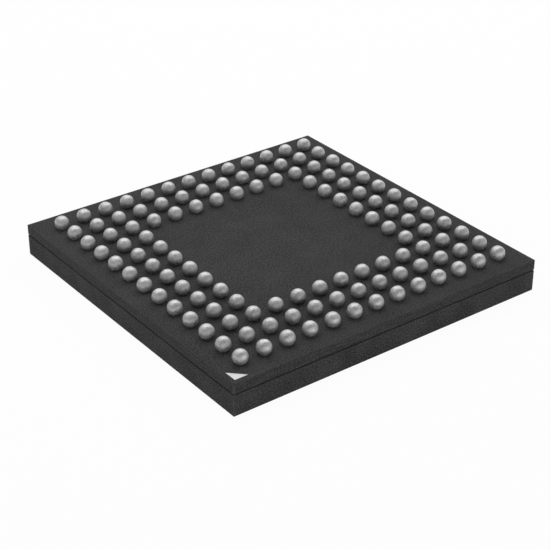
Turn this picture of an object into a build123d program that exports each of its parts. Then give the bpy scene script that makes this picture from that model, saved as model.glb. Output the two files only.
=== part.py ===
from build123d import *
from math import atan2, degrees, hypot, sqrt
import os

# A microcontroller in a ball grid package: a thin square body with solder balls on its outer three rings.
# It lies on its mould face with the balls up, as it does in a tray before it is soldered to a board.
# Millimetres. The origin is the centre of the mould face, +Z points out of the ball side, +X runs along
# the ball columns and +Y along the ball rows, from row a. The pin-one corner is the one at -X, -Y.

# Body: moulding compound over a laminate of a core with a solder mask on each side
body_side = 7.0
mould_t = 0.425
core_t = 0.175
mask_t = 0.025
mask_setback = 0.012  # the die-side mask stops short of the sawn sides, a fine dark line all round

# Ball grid
pitch = 0.5
grid_side = 13  # places along a side
rings = 3  # the outermost rings hold balls
row_letters = "abcdefghjklmnprtuvwy"
ball_d = 0.29
opening_d = 0.22  # opening in the mask, which the foot of a ball fills

# Copper on both faces of the core
copper_t = 0.015
pad_d = 0.30
neck_w = 0.08
land_d = 0.18
via_d = 0.10
trace_w = 0.04
lane_offset = 0.19  # a trace that passes a via runs this far to one side of it
lane_entry = 0.20  # it is in its lane this far before the via
lane_exit = 0.05  # and leaves it this far past the via

# Bond fingers, where the wires land, in a row along each side
finger_pitch = 0.155
finger_w = 0.08
finger_l = 0.18
finger_cover = 0.02  # the mask lies over this much of each end of a finger
window_margin = 0.06  # the window in the mask runs on past the last finger

# Die and wires
die_side = 3.6
die_t = 0.15
film_t = 0.02
bond_pitch = 0.115
bond_inset = 0.06  # from the die's edge to the line of ball bonds
bond_d = 0.045
bond_t = 0.012
wire_d = 0.02
loop_h = 0.10  # how far a wire rises off the die
loop_run = 0.22  # how far it runs level before it slopes to its finger
loop_bend_r = 0.035
slope_bend_r = 0.08
wire_overrun = 0.04  # a wire's line runs this far past its finger's face, where it is cut off

# Marks of the pin-one corner
mark_leg = 0.285
mark_inset = 0.10
mark_t = 0.020
dot_d = 0.50
dot_depth = 0.012
dot_inset = 0.65  # from each side of the body to the dot's centre

# Levels, from the mould face up
die_mask_z = mould_t
core_z = die_mask_z + mask_t
ball_mask_z = core_z + core_t
ball_face_z = ball_mask_z + mask_t
finger_z = core_z - copper_t
pad_z = ball_mask_z + copper_t
film_z = die_mask_z - film_t
die_face_z = film_z - die_t

# The grid's outermost centres, and the fingers' row, which lies between the two inner rows of vias
grid_half = (grid_side - 1) / 2 * pitch
finger_row = grid_half - pitch
side_angles = {"south": 0, "east": 90, "north": 180, "west": 270}


def slab(side, bottom, thickness):
    """A square plate, centred on the origin, with its lower face at the height bottom."""
    return Pos(0, 0, bottom) * Box(side, side, thickness, align=(Align.CENTER, Align.CENTER, Align.MIN))


def on_all_sides(shapes):
    """Copies of the south side's shapes on the four sides of the package."""
    return [Rot(0, 0, angle) * shape for angle in side_angles.values() for shape in shapes]


def side_nets():
    """Each net of the south side as (lane, column, ring), in the order of the fingers from -X to +X.

    A ball's via stands half a pitch outside its row and half a pitch along it. Ring 0 is the outermost.
    """
    nets = []
    for ring in range(rings):
        count = grid_side - 1 - 2 * ring
        for i in range(count):
            column = (i - (count - 1) / 2) * pitch
            outwards = 1 if column > 0 else -1
            nets.append((column + outwards * (ring - 1) * lane_offset, column, ring))
    return sorted(nets)


def via_row(ring):
    """Distance from the package's centre to a ring's row of vias."""
    return grid_half - ring * pitch + pitch / 2


def line_up(count, spacing):
    """Places of a centred row of count things."""
    return [(k - (count - 1) / 2) * spacing for k in range(count)]


nets = side_nets()
finger_places = line_up(len(nets), finger_pitch)
bond_places = line_up(len(nets), bond_pitch)


def track(start, end, width):
    """A round-ended copper track from one point to another."""
    dx, dy = end[0] - start[0], end[1] - start[1]
    middle = Pos((start[0] + end[0]) / 2, (start[1] + end[1]) / 2)
    return middle * Rot(0, 0, degrees(atan2(dy, dx))) * SlotCenterToCenter(hypot(dx, dy), width)


def die_side_net(lane, column, ring, finger_x):
    """The copper from a via's land to its bond finger."""
    route = [(column, -via_row(ring))]
    for passed in range(ring + 1, rings):
        if via_row(passed) > finger_row:
            route.append((lane, -via_row(passed) - lane_entry))
            route.append((lane, -via_row(passed) + lane_exit))
    outside = via_row(ring) > finger_row
    end = finger_l / 2 if outside else -finger_l / 2
    route.append((finger_x, -finger_row - end))
    net = Pos(*route[0]) * Circle(land_d / 2)
    for start, stop in zip(route, route[1:]):
        net += track(start, stop, trace_w)
    net += Pos(finger_x, -finger_row) * Rectangle(finger_w, finger_l)
    return extrude(Pos(0, 0, finger_z) * net, copper_t)


def ball_side_net(column, ring):
    """The copper from a ball's pad to its via's land."""
    via = (column, -via_row(ring))
    ball = (column - pitch / 2, -via_row(ring) + pitch / 2)
    net = Pos(*ball) * Circle(pad_d / 2) + track(ball, via, neck_w) + Pos(*via) * Circle(land_d / 2)
    return extrude(Pos(0, 0, ball_mask_z) * net, copper_t)


def finger_window(bottom, thickness):
    """The long opening in the die-side mask along the south side's fingers."""
    length = finger_places[-1] - finger_places[0] + finger_w + 2 * window_margin
    bar = Box(length, finger_l - 2 * finger_cover, thickness, align=(Align.CENTER, Align.CENTER, Align.MIN))
    return Pos(0, -finger_row, bottom) * bar


def bond_wire(bond_x, finger_x):
    """One wire of the south side: a squashed ball on the die, a loop, and a run down to the finger."""
    bond = Vector(bond_x, bond_inset - die_side / 2, die_face_z)
    landing = Vector(finger_x, -finger_row, finger_z)
    along = Vector(landing.X - bond.X, landing.Y - bond.Y, 0)
    rise = bond - Vector(0, 0, loop_h)
    crest = rise + along.normalized() * loop_run
    past = landing + (landing - crest).normalized() * wire_overrun
    path = FilletPolyline(bond, rise, crest, past, radius=[loop_bend_r, slope_bend_r])
    section = Plane(origin=bond, z_dir=(0, 0, -1)) * Circle(wire_d / 2)
    wire = sweep(section, path=path)
    wire += Pos(bond.X, bond.Y, die_face_z - bond_t) * Cylinder(
        bond_d / 2, bond_t, align=(Align.CENTER, Align.CENTER, Align.MIN)
    )
    return wire - slab(body_side, finger_z, core_t)


def solder_ball():
    """A reflowed ball: a sphere that meets the rim of the mask's opening, and its foot down to the pad."""
    ball_r = ball_d / 2
    rim_r = opening_d / 2
    centre = sqrt(ball_r**2 - rim_r**2)
    foot = mask_t - copper_t
    outline = Polyline((0, centre + ball_r), (0, -foot), (rim_r, -foot), (rim_r, 0))
    outline += ThreePointArc((rim_r, 0), (ball_r, centre), (0, centre + ball_r))
    return revolve(make_face(Plane.XZ * outline), Axis.Z)


def write(name, shapes):
    """Writes one node: a single solid, or a group of like solids that don't touch."""
    solids = [solid for shape in shapes for solid in shape.solids()]
    export_step(Compound(children=solids) if len(solids) > 1 else solids[0], f"parts/{name}.step")
    print(name, len(solids), round(sum(solid.volume for solid in solids), 5))


os.makedirs("parts", exist_ok=True)

# Copper and vias
die_side_copper = on_all_sides(
    [die_side_net(lane, column, ring, x) for (lane, column, ring), x in zip(nets, finger_places)]
)
ball_side_copper = on_all_sides([ball_side_net(column, ring) for _, column, ring in nets])
via = Pos(0, 0, core_z) * Cylinder(via_d / 2, core_t, align=(Align.CENTER, Align.CENTER, Align.MIN))
vias = on_all_sides([Pos(column, -via_row(ring), 0) * via for _, column, ring in nets])
write("die_side_copper", die_side_copper)
write("ball_side_copper", ball_side_copper)
write("filled_vias", vias)

# Pin-one mark: a plated triangle that fills its window in the ball-side mask
corner = mark_inset - body_side / 2
mark_face = make_face(
    Polyline((corner, corner), (corner + mark_leg, corner), (corner, corner + mark_leg), close=True)
)
mark = extrude(Pos(0, 0, ball_mask_z) * mark_face, mark_t)
mark_window = extrude(Pos(0, 0, ball_mask_z) * mark_face, mask_t)
write("pin_one_mark", [mark])

# Laminate
core = slab(body_side, core_z, core_t) - vias
write("laminate_core", [core])
windows = on_all_sides([finger_window(die_mask_z, mask_t)])
die_side_mask = slab(body_side - 2 * mask_setback, die_mask_z, mask_t) - (die_side_copper + windows)
write("die_side_mask", [die_side_mask])

# Balls, one node for each row of the grid
ball = Pos(0, 0, ball_face_z) * solder_ball()
opening = Pos(0, 0, pad_z) * Cylinder(
    opening_d / 2, mask_t - copper_t, align=(Align.CENTER, Align.CENTER, Align.MIN)
)
openings = []
places = line_up(grid_side, pitch)
for row, y in enumerate(places):
    columns = [
        x
        for column, x in enumerate(places)
        if min(row, column, grid_side - 1 - row, grid_side - 1 - column) < rings
    ]
    write(f"ball_row_{row_letters[row]}", [Pos(x, y, 0) * ball for x in columns])
    openings += [Pos(x, y, 0) * opening for x in columns]
ball_side_mask = slab(body_side, ball_mask_z, mask_t) - (ball_side_copper + openings + [mark_window])
write("ball_side_mask", [ball_side_mask])

# Die, its film and its wires
film = slab(die_side, film_z, film_t)
die = slab(die_side, die_face_z, die_t)
write("die_attach_film", [film])
write("silicon_die", [die])
side_wires = [bond_wire(bond_x, finger_x) for bond_x, finger_x in zip(bond_places, finger_places)]
for side, angle in side_angles.items():
    write(f"bond_wires_{side}", [Rot(0, 0, angle) * wire for wire in side_wires])

# Mould cap, which fills the windows round the fingers and closes on the die and every wire
dot_place = dot_inset - body_side / 2
dot = Pos(dot_place, dot_place, 0) * Cylinder(
    dot_d / 2, dot_depth, align=(Align.CENTER, Align.CENTER, Align.MIN)
)
mould_cap = slab(body_side, 0, mould_t) + windows
mould_cap -= [film, die, dot] + die_side_copper
mould_cap -= on_all_sides(side_wires)
write("mould_cap", [mould_cap])
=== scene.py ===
import math

import bmesh
import bpy
from mathutils import Matrix, Vector, noise


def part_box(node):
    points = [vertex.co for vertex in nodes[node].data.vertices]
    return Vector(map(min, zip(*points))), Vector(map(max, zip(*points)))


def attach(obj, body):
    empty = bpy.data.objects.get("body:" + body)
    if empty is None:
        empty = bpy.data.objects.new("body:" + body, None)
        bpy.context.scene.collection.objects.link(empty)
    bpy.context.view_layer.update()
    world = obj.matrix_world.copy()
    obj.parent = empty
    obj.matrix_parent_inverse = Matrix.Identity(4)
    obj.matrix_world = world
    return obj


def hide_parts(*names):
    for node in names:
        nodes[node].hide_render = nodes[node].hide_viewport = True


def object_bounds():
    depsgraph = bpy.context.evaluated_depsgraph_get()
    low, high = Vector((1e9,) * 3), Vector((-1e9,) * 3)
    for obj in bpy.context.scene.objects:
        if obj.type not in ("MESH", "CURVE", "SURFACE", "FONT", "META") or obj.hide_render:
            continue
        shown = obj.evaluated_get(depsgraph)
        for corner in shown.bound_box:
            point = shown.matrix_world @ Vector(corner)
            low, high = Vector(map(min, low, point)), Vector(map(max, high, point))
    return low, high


# A microcontroller in a ball grid package, lying on its mould face with its solder balls up. Metres, with mm
# as the unit of every size. The sections follow the package as it is built: laminate, copper and masks, then
# die, wires and moulding, then the balls, and last the floor, the lights and the camera.
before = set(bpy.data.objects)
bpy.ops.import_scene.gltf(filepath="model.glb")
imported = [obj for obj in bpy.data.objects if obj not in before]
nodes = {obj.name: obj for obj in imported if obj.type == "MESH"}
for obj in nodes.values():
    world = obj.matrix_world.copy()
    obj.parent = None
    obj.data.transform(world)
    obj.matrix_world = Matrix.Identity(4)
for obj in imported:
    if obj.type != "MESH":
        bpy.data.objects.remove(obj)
cad_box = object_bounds()
mm = 0.001


# Laminate core: a black glass-filled sheet, the backbone of the package. It is sawn to size with the mould,
# so its edge is dull, with faint marks where bundles of glass come to the surface. A painted highlight makes
# it a little lighter at its four upright edges, as if they caught the light.
class Socket:
    """A shader socket. Arithmetic on it adds Math nodes, and node() adds a node of any other kind."""

    def __init__(self, tree, output=None):
        self.tree = tree
        self.output = output

    def feed(self, entry, value):
        if isinstance(value, Socket):
            self.tree.links.new(value.output, entry)
        else:
            entry.default_value = value

    def node(self, kind, settings=None, inputs=None, output=0):
        made = self.tree.nodes.new(kind)
        for name, value in (settings or {}).items():
            if name == "stops":
                ramp = made.color_ramp.elements
                while len(ramp) < len(value):
                    ramp.new(0.5)
                for stop, (place, level) in zip(ramp, value):
                    stop.position = place
                    stop.color = (level, level, level, 1)
            else:
                setattr(made, name, value)
        for name, value in (inputs or {}).items():
            self.feed(made.inputs[name], value)
        return Socket(self.tree, made.outputs[output])

    def math(self, operation, first, second):
        return self.node("ShaderNodeMath", {"operation": operation}, {0: first, 1: second})

    def __add__(self, other):
        return self.math("ADD", self, other)

    def __sub__(self, other):
        return self.math("SUBTRACT", self, other)

    def __rsub__(self, other):
        return self.math("SUBTRACT", other, self)

    def __mul__(self, other):
        return self.math("MULTIPLY", self, other)

    __radd__ = __add__
    __rmul__ = __mul__


def new_finish(name):
    """A new material: itself, its place in millimetres from the frame's origin, and a function that sets
    the sockets of its shader."""
    material = bpy.data.materials.new(name)
    material.use_nodes = True
    tree = material.node_tree
    start = Socket(tree)
    place = start.node("ShaderNodeTexCoord", output="Object")
    place = place.node("ShaderNodeVectorMath", {"operation": "SCALE"}, {0: place, "Scale": 1 / mm}, "Vector")
    shader = tree.nodes["Principled BSDF"]

    def dress(**sockets):
        for key, value in sockets.items():
            start.feed(shader.inputs[key.replace("_", " ")], value)

    return material, place, dress


def stretched(place, x, y, z):
    """The place with each of its axes multiplied, which shortens a pattern along it."""
    return place.node("ShaderNodeVectorMath", {"operation": "MULTIPLY"}, {0: place, 1: (x, y, z)}, "Vector")


def grain(place, scale, detail=2.0, roughness=0.5):
    """Noise from 0 to 1, with scale in cycles per millimetre."""
    sizes = {"Vector": place, "Scale": scale, "Detail": detail, "Roughness": roughness}
    return place.node("ShaderNodeTexNoise", None, sizes, "Fac")


def crisp(amount, gain):
    """Noise with its contrast raised about its middle level."""
    return gain * amount - (gain - 1) / 2


def grey(level):
    """A neutral colour."""
    return (level, level, level)


def tint(place, amount, low, high):
    """A colour between two colours."""
    settings = {"data_type": "RGBA"}
    return place.node("ShaderNodeMix", settings, {"Factor": amount, 6: (*low, 1), 7: (*high, 1)}, 2)


def relief(place, height, depth):
    """A bumped normal, with depth in millimetres from a height of 0 to 1."""
    sizes = {"Height": height, "Distance": depth * mm, "Strength": 1.0}
    return place.node("ShaderNodeBump", None, sizes, "Normal")


def repaint(node, material):
    """Gives a CAD node its material."""
    nodes[node].data.materials.clear()
    nodes[node].data.materials.append(material)


def along(place, axis):
    """One coordinate of the place."""
    return place.node("ShaderNodeSeparateXYZ", None, {"Vector": place}, axis)


def edge_highlight_band(place):
    """The painted edge highlight: 1 in a narrow band on both sides of the body's upright edges, and 0
    elsewhere.
    """
    x = along(place, "X")
    y = along(place, "Y")
    nearest = x.math("MINIMUM", x.math("ABSOLUTE", x, 0), y.math("ABSOLUTE", y, 0))
    return nearest.math("GREATER_THAN", nearest, (cad_box[1][0] - edge_highlight_width) / mm)


# Width of the band of painted highlight along the body's upright edges.
edge_highlight_width = 0.025 * mm
laminate_edge_highlight = 0.30  # how much lighter the painted edge highlight is, as a share of the way from dark to light
sawn_contrast = 3

laminate, place, dress = new_finish("sawn_laminate")
bundles = grain(stretched(place, 1, 1, 9), 5, 3)
specks = grain(place, 36, 2)
# The tone carries the painted highlight at the upright edges.
shade = crisp(0.3 * bundles + 0.7 * specks, sawn_contrast) + laminate_edge_highlight * edge_highlight_band(place)
dress(
    Base_Color=tint(place, shade, grey(0.002), grey(0.055)),
    Roughness=0.62 + 0.16 * bundles,
    Specular_IOR_Level=0.1,
    Normal=relief(place, 0.5 * bundles + 0.5 * specks, 0.002),
)
repaint("laminate_core", laminate)

# Copper of both faces and the filled vias: plated, etched into one net for each ball, and shut between the
# core and the masks. Only its ball pads and bond fingers lie open to the balls and the wires.
etched_copper, place, dress = new_finish("etched_copper")
etch = grain(place, 30, 3)
dress(
    Base_Color=tint(place, etch, (0.70, 0.36, 0.22), (0.82, 0.48, 0.31)),
    Metallic=1.0,
    Roughness=0.30 + 0.22 * etch,
    Normal=relief(place, etch, 0.001),
)
for node in ("die_side_copper", "ball_side_copper", "filled_vias"):
    repaint(node, etched_copper)

# Solder masks: a matt black film on each face, with an opening over each pad. The die-side one stops short
# of the sawn sides, and its edge is the fine dark line round them.
ball_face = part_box("ball_side_mask")[1].z
edge_shade = 0.34  # how much darker the sawn edge of the film is than its face
edge_start = 0.0005 * mm  # how far below its face the film counts as its edge
mask_contrast = 2

mask_film, place, dress = new_finish("black_solder_mask")
clouds = grain(place, 1.6, 3)
peel = grain(place, 24, 2)
specks = grain(place, 34, 1)
height = along(place, "Z")
sawn = height.math("LESS_THAN", height, (ball_face - edge_start) / mm)
shade = crisp(0.2 * clouds + 0.8 * specks, mask_contrast) * (1 - edge_shade * sawn)
dress(
    Base_Color=tint(place, shade, grey(0.006), grey(0.076)),
    Roughness=0.58 + 0.12 * clouds + 0.10 * specks,
    Specular_IOR_Level=0.1,
    Normal=relief(place, 0.6 * peel + 0.4 * specks, 0.0016),
)
repaint("ball_side_mask", mask_film)

# Tinted darker than the ball-side film: painted shade that deepens the dark line at its recessed edge.
buried_film, place, dress = new_finish("buried_solder_mask")
smear = grain(stretched(place, 1, 1, 12), 6, 2)
dress(
    Base_Color=tint(place, smear, grey(0.004), grey(0.018)),
    Roughness=0.66 + 0.12 * smear,
    Specular_IOR_Level=0.1,
)
repaint("die_side_mask", buried_film)

# Pin-one mark: a copper triangle with a pale, matt plating, on the laminate in its own window of the mask. It
# shows the corner from which the balls are counted.
plating, place, dress = new_finish("pale_plating")
crystals = grain(place, 40, 2)
dress(
    Base_Color=tint(place, crystals, grey(0.56), grey(0.70)),
    Metallic=0.35,
    Roughness=0.42 + 0.16 * crystals,
    Normal=relief(place, crystals, 0.001),
)
repaint("pin_one_mark", plating)

# Die and its film: a thin square of polished silicon, with the circuit on the face turned away from the
# laminate. A cured adhesive film holds it to the die-side mask.
silicon, place, dress = new_finish("polished_silicon")
blocks = grain(place, 3, 1)
dress(
    Base_Color=tint(place, blocks, (0.26, 0.27, 0.31), (0.38, 0.38, 0.41)),
    Metallic=1.0,
    Roughness=0.16 + 0.12 * blocks,
)
repaint("silicon_die", silicon)

adhesive, place, dress = new_finish("attach_film")
cure = grain(place, 8, 2)
dress(
    Base_Color=tint(place, cure, (0.44, 0.41, 0.34), (0.55, 0.52, 0.45)),
    Roughness=0.45 + 0.2 * cure,
)
repaint("die_attach_film", adhesive)

# Bond wires: fine drawn gold, one from each pad of the die to its finger on the laminate. Each starts from a
# squashed ball on the die, rises in a low loop and slopes down to its finger.
gold, place, dress = new_finish("drawn_gold")
draw = grain(place, 45, 1)
dress(
    Base_Color=tint(place, draw, (0.86, 0.60, 0.24), (0.95, 0.72, 0.34)),
    Metallic=1.0,
    Roughness=0.18 + 0.12 * draw,
)
for side in ("south", "east", "north", "west"):
    repaint(f"bond_wires_{side}", gold)

# Mould cap: silica-filled epoxy, moulded over the die, the wires and the whole laminate, and then sawn with
# it. Its sides are dull with a very fine grain; a painted highlight lightens them at the upright edges.
# How much lighter the painted highlight makes the mould's upright edges.
mould_edge_highlight = 0.12

compound, place, dress = new_finish("moulding_compound")
filler = grain(place, 36, 2)
swirl = grain(place, 2.2, 3)
saw = grain(stretched(place, 1, 1, 30), 2.5, 2)
# The tone carries the painted highlight at the upright edges.
shade = crisp(0.8 * filler + 0.2 * swirl, sawn_contrast) + mould_edge_highlight * edge_highlight_band(place)
dress(
    Base_Color=tint(place, shade, grey(0.002), grey(0.058)),
    Roughness=0.60 + 0.16 * filler,
    Specular_IOR_Level=0.1,
    Normal=relief(place, 0.7 * filler + 0.3 * saw, 0.002),
)
repaint("mould_cap", compound)

# Solder balls: a tin alloy, reflowed, so each is a near-perfect sphere drawn down at its foot to the rim of
# the mask's opening. The surface is satin, with the fine grain that the alloy freezes in.
ball_r = 0.145 * mm
rim_r = 0.11 * mm
foot = 0.010 * mm  # how far a ball reaches down into its opening
ball_rise = math.sqrt(ball_r**2 - rim_r**2)  # from the mask's face to the middle of a ball
pitch = 0.5 * mm
grid_side = 13  # places along a side
rings = 3  # the outermost rings hold balls
unevenness = 0.004  # how far a ball's surface strays, as a share of its radius
dent_size = 0.11 * mm
cut_tolerance = 1e-6 * mm

solder, place, dress = new_finish("reflowed_solder")
frost = grain(place, 24, 3, 0.7)
dendrites = grain(place, 52, 2, 0.6)
crust = 0.5 * frost + 0.5 * dendrites
dress(
    Base_Color=tint(place, crust, grey(0.08), grey(0.96)),
    Metallic=0.9,
    Roughness=0.44 + 0.24 * frost,
    Coat_Weight=1.0,
    Coat_Roughness=0.2,
    Normal=relief(place, crust, 0.009),
)


def solder_ball(bm, x, y):
    """Adds one ball to a row, with its foot in the mask's opening."""
    ball = bmesh.new()
    bmesh.ops.create_uvsphere(ball, u_segments=36, v_segments=22, radius=ball_r)
    cut = bmesh.ops.bisect_plane(
        ball,
        geom=ball.verts[:] + ball.edges[:] + ball.faces[:],
        dist=cut_tolerance,
        plane_co=(0, 0, -ball_rise),
        plane_no=(0, 0, -1),
        clear_outer=True,
    )
    rim = [edge for edge in cut["geom_cut"] if isinstance(edge, bmesh.types.BMEdge)]
    drawn = bmesh.ops.extrude_edge_only(ball, edges=rim)["geom"]
    bottom = [vert for vert in drawn if isinstance(vert, bmesh.types.BMVert)]
    bmesh.ops.translate(ball, verts=bottom, vec=(0, 0, -foot))
    bmesh.ops.edgeloop_fill(ball, edges=[edge for edge in drawn if isinstance(edge, bmesh.types.BMEdge)])
    middle = Vector((x, y, ball_face + ball_rise))
    bmesh.ops.translate(ball, verts=ball.verts, vec=middle)
    for vert in ball.verts:
        if vert.co.z > ball_face + foot:
            out = vert.co - middle
            vert.co = middle + out * (1 - unevenness * abs(noise.noise(vert.co / dent_size)))
    bmesh.ops.recalc_face_normals(ball, faces=ball.faces)
    made = bpy.data.meshes.new("one_ball")
    ball.to_mesh(made)
    ball.free()
    bm.from_mesh(made)
    bpy.data.meshes.remove(made)


last = grid_side - 1
for row, letter in enumerate("abcdefghjklmn"):
    bm = bmesh.new()
    for column in range(grid_side):
        if min(row, column, last - row, last - column) < rings:
            solder_ball(bm, (column - last / 2) * pitch, (row - last / 2) * pitch)
    mesh = bpy.data.meshes.new(f"reflowed_row_{letter}")
    bm.to_mesh(mesh)
    bm.free()
    mesh.polygons.foreach_set("use_smooth", [True] * len(mesh.polygons))
    mesh.materials.append(solder)
    balls = bpy.data.objects.new(f"reflowed_row_{letter}", mesh)
    bpy.context.scene.collection.objects.link(balls)
    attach(balls, "root")
    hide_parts(f"ball_row_{letter}")
    repaint(f"ball_row_{letter}", solder)

# Floor: a plain white surface. What the camera sees of it is mostly its own white, and the rest keeps the
# package's shadow.
floor_side = 400 * mm
shadow_share = 0.04

mesh = bpy.data.meshes.new("floor")
bm = bmesh.new()
bmesh.ops.create_grid(bm, x_segments=1, y_segments=1, size=floor_side / 2)
bm.to_mesh(mesh)
bm.free()
floor = bpy.data.objects.new("floor", mesh)
bpy.context.scene.collection.objects.link(floor)
paper = bpy.data.materials.new("white_floor")
paper.use_nodes = True
start = Socket(paper.node_tree)
seen = start.node("ShaderNodeLightPath", output="Is Camera Ray")
seen += start.node("ShaderNodeLightPath", output="Is Glossy Ray")
seen += start.node("ShaderNodeLightPath", output="Is Transmission Ray")
lit = start.node("ShaderNodeBsdfDiffuse", None, {"Color": (0.8, 0.8, 0.8, 1)})
white = start.node("ShaderNodeEmission", None, {"Color": (1, 1, 1, 1), "Strength": 1.0})
surface = start.node("ShaderNodeMixShader", None, {0: seen * (1 - shadow_share), 1: lit, 2: white})
start.feed(paper.node_tree.nodes["Material Output"].inputs["Surface"], surface)
mesh.materials.append(paper)

# Light: a plain studio. Its walls are white low down, as the floor is, and it is dark overhead. Two wide
# soft panels hang high behind the package, one above the other. A small one hangs close on its left, a wide
# one stands low in front on its right, and a low strip lies in front.
wall_level = 4.0  # what the walls give as light, though they are seen as a plain white
overhead_level = 0.12  # what the room overhead gives, though the camera sees it white too
wall_top = 0.10  # sine of the elevation where the white of the walls starts to fade
overhead_start = 0.26  # and of the one where only the dark overhead is left

world = bpy.data.worlds.new("room")
world.use_nodes = True
bpy.context.scene.world = world
start = Socket(world.node_tree)
camera_ray = start.node("ShaderNodeLightPath", output="Is Camera Ray")
seen = camera_ray + start.node("ShaderNodeLightPath", output="Is Glossy Ray")
seen += start.node("ShaderNodeLightPath", output="Is Transmission Ray")
direction = start.node("ShaderNodeTexCoord", output="Generated")
height = along(direction, "Z")
stops = {"stops": [(wall_top, 1.0), (overhead_start, 0.0)]}
wall = start.node("ShaderNodeValToRGB", stops, {"Fac": height}, "Color")
walls = wall * (wall_level + seen * (1 - wall_level))
overhead = (1 - wall) * (overhead_level + camera_ray * (1 - overhead_level))
background = world.node_tree.nodes["Background"]
start.feed(background.inputs["Color"], (1, 1, 1, 1))
start.feed(background.inputs["Strength"], walls + overhead)


def panel(name, wide, high, level, turn, elevation, reach):
    """A soft light that faces the package, with level as its radiance. Its turn and elevation are in degrees,
    and the turn is counted from straight behind the package, to the left."""
    bearing = azimuth + math.radians(turn)
    across = reach * math.cos(math.radians(elevation))
    above = reach * math.sin(math.radians(elevation))
    place = Vector((-math.sin(bearing) * across, math.cos(bearing) * across, above))
    lamp = bpy.data.lights.new(name, "AREA")
    lamp.shape = "RECTANGLE"
    lamp.size = wide
    lamp.size_y = high
    lamp.energy = level * math.pi * wide * high
    made = bpy.data.objects.new(name, lamp)
    made.location = place
    made.rotation_euler = (-place).to_track_quat("-Z", "Y").to_euler()
    bpy.context.scene.collection.objects.link(made)


azimuth = math.radians(-36.8)  # the camera's, from which the panels are turned
panel("back_panel", 66 * mm, 11 * mm, 2.4, -4, 42, 40 * mm)
panel("top_panel", 64 * mm, 19 * mm, 2.6, 12, 64, 40 * mm)
panel("right_panel", 60 * mm, 20 * mm, 0.8, -132, 17, 40 * mm)
panel("left_panel", 9 * mm, 9 * mm, 0.65, 106, 54, 12 * mm)
panel("front_strip", 27 * mm, 3 * mm, 1.5, -165, 8, 20 * mm)

# Camera: a long lens, held level, that looks down on the package past its pin-one corner. It is aimed a
# little below the middle of the ball grid and a hair to the left of it.
elevation = math.radians(30)
distance = 29.45 * mm
aim_left = 0.018 * mm
aim_down = 0.717 * mm
focal_length = 99.95  # in millimetres, as the sensor's width is
sensor_width = 36

back = Vector((math.sin(azimuth) * math.cos(elevation), -math.cos(azimuth) * math.cos(elevation), 0))
back.z = math.sin(elevation)
right = Vector((math.cos(azimuth), math.sin(azimuth), 0))
up = back.cross(right)
lens = bpy.data.cameras.new("camera")
lens.sensor_width = sensor_width
lens.lens = focal_length
lens.clip_start = 0.5 * mm
lens.clip_end = 2
camera = bpy.data.objects.new("camera", lens)
spot = Vector((0, 0, ball_face + ball_rise)) + back * distance - right * aim_left - up * aim_down
camera.matrix_world = Matrix.Translation(spot) @ Matrix((right, up, back)).transposed().to_4x4()
bpy.context.scene.collection.objects.link(camera)
bpy.context.scene.camera = camera
bpy.context.scene.view_settings.view_transform = "Standard"
